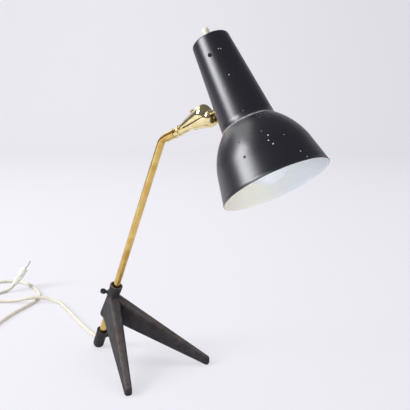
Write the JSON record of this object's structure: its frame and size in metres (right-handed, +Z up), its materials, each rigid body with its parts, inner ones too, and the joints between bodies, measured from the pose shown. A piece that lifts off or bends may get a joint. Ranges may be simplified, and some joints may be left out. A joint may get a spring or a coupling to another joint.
{
  "type": "table lamp",
  "caption": "Table lamp with a cast iron two-legged tripod clamped on a bent brass tube, a split ball knuckle and a tilting spun black shade with push button and mains cord",
  "frame": {"origin": "middle of the small flat under the tube foot, on the table", "axes": "+X forward between the two cast legs, +Z up, +Y to the left; the stem, arm and stud lie in the plane y = 0"},
  "size_m": [0.8365, 0.2335, 0.4732],
  "materials": {
    "brass_tube": "polished brass, warm, darker at the bend",
    "brass_joint": "polished brass, bright",
    "brass_small": "brass, slightly dull",
    "cast": "cast iron, black paint, worn ridges",
    "foot": "black painted iron",
    "screw_black": "blackened steel",
    "lacquer": "spun sheet, satin black lacquer outside, off-white inside",
    "steel": "zinc-plated steel",
    "bakelite": "black phenolic moulding",
    "ceramic": "glazed white ceramic",
    "contact": "thin sheet brass",
    "cap": "aluminium screw cap",
    "opal": "opal glass",
    "ivory": "ivory plastic",
    "pvc": "off-white flexible plastic",
    "wire": "insulated single wire",
    "tie": "dark soft plastic",
    "plug": "white plastic",
    "pin": "nickel-plated"
  },
  "bodies": {
    "base": {"stem_tube": "brass_tube", "foot_ferrule": "foot", "arm_sleeve": "brass_tube", "lock_ring": "brass_small", "stem_wires": "wire", "cord_gland": "pvc", "mains_cord": "pvc", "cord_coil": "pvc", "coil_tie": "tie", "plug_lead": "pvc", "plug_body": "plug", "plug_pins": "pin"},
    "foot_screw": {"foot_thumbscrew": "screw_black"},
    "liner": {"collar_liner": "brass_small"},
    "tripod": {"tripod_casting": "cast"},
    "collar_screw": {"collar_thumbscrew": "screw_black"},
    "knuckle": {"knuckle_upper": "brass_joint", "knuckle_lower": "brass_joint", "clamp_screw": "brass_small", "clamp_nut": "brass_small", "knuckle_wires": "wire"},
    "stud": {"ball_stud": "brass_joint", "stud_nut": "steel"},
    "head": {"shade": "lacquer", "stud_saddle": "brass_small", "inner_saddle": "steel", "neck_screws": "screw_black", "holder_bridge": "steel", "holder_nipple": "steel", "holder_nut": "steel", "lampholder_cap": "bakelite", "lampholder_skirt": "bakelite", "lampholder_core": "ceramic", "screw_shell": "contact", "lamp_contacts": "contact", "bulb_cap": "cap", "bulb_glass": "opal", "switch_body": "bakelite", "switch_nut": "brass_small", "shade_wires": "wire"},
    "button": {"switch_button": "ivory"}
  },
  "joints": [
    {"name": "tripod_slide", "type": "slide", "parent": "base", "child": "liner", "axis": [0.4305, 0, 0.9026], "range_m": [-0.015, 0.06]},
    {"name": "tripod_turn", "type": "hinge", "parent": "liner", "child": "tripod", "pos_m": [0.04348, 0, 0.09766], "axis": [0.4305, 0, 0.9026], "range_deg": [-180, 180]},
    {"name": "collar_screw_turn", "type": "hinge", "parent": "tripod", "child": "collar_screw", "pos_m": [0.03507, -0.01229, 0.10001], "axis": [-0.5177, -0.8192, 0.2469], "range_deg": [-180, 180]},
    {"name": "foot_screw_turn", "type": "hinge", "parent": "base", "child": "foot_screw", "pos_m": [0.00611, 0.01195, 0.01688], "axis": [0.0787, 0.9962, -0.0375], "range_deg": [-180, 180]},
    {"name": "knuckle_swivel", "type": "hinge", "parent": "base", "child": "knuckle", "pos_m": [0.18852, 0, 0.34578], "axis": [0.9336, 0, 0.3584], "range_deg": [-170, 170]},
    {"name": "ball_tilt", "type": "hinge", "parent": "knuckle", "child": "stud", "pos_m": [0.24402, 0, 0.36708], "axis": [0, 1, 0], "range_deg": [-18, 38]},
    {"name": "shade_roll", "type": "hinge", "parent": "stud", "child": "head", "pos_m": [0.2582, 0, 0.37647], "axis": [0.8339, 0, 0.5519], "range_deg": [-170, 170]},
    {"name": "switch_press", "type": "slide", "parent": "head", "child": "button", "axis": [0.5519, 0, -0.8339], "range_m": [0, 0.003], "stiffness_N_per_m": 900, "springref_m": -0.002}
  ]
}
